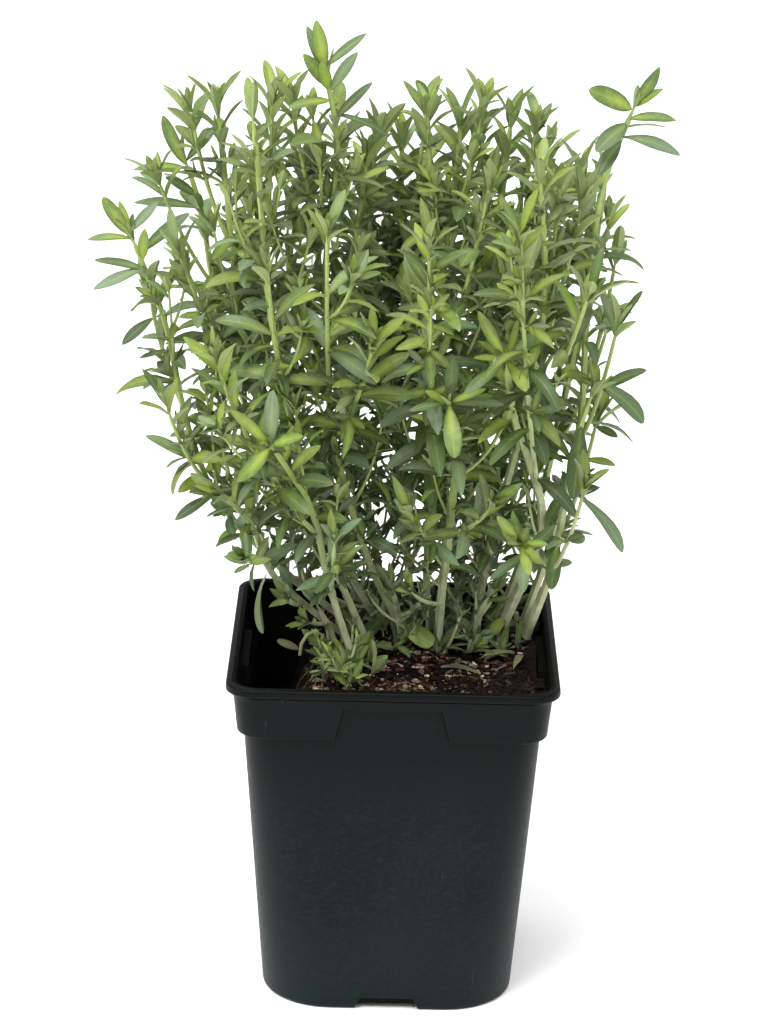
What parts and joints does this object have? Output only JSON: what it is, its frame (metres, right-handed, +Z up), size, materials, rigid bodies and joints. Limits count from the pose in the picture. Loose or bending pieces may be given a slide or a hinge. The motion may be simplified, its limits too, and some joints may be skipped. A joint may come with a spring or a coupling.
{
  "type": "potted savory",
  "caption": "Bushy potted herb: leafy upright stems growing from a root ball in a square tapered plastic nursery pot with a stepped collar and drainage channels.",
  "frame": {"origin": "centre of the pot's flat base, on the surface it stands on", "axes": "+Z up along the pot's axis, +X to the right and +Y to the back as seen from the front, with the pot's sides square to X and Y"},
  "size_m": [0.1831, 0.1568, 0.3307],
  "materials": {
    "pot_plastic": "satin, very dark green, finely grained",
    "soil": "rough, moist peat with bark chips",
    "savory": "matte green leaves on green to pale woody stems",
    "shed_leaf": "matte, pale and drying"
  },
  "bodies": {
    "root": {"pot": "pot_plastic", "soil": "soil", "stem_left_low": "savory", "stem_left_outer": "savory", "stem_left_back": "savory", "stem_left_inner": "savory", "stem_left_middle": "savory", "stem_front_left": "savory", "stem_tall": "savory", "stem_centre_back": "savory", "stem_centre": "savory", "stem_centre_front": "savory", "stem_right_back": "savory", "stem_right_front": "savory", "stem_right_middle": "savory", "stem_right_slender": "savory", "stem_right_top": "savory", "stem_right_low": "savory", "stem_back_left": "savory", "stem_back_right": "savory", "stem_short_left": "savory", "stem_short_centre": "savory", "stem_short_right": "savory", "fallen_leaf_1": "shed_leaf", "fallen_leaf_2": "shed_leaf", "fallen_leaf_3": "shed_leaf"}
  },
  "joints": []
}
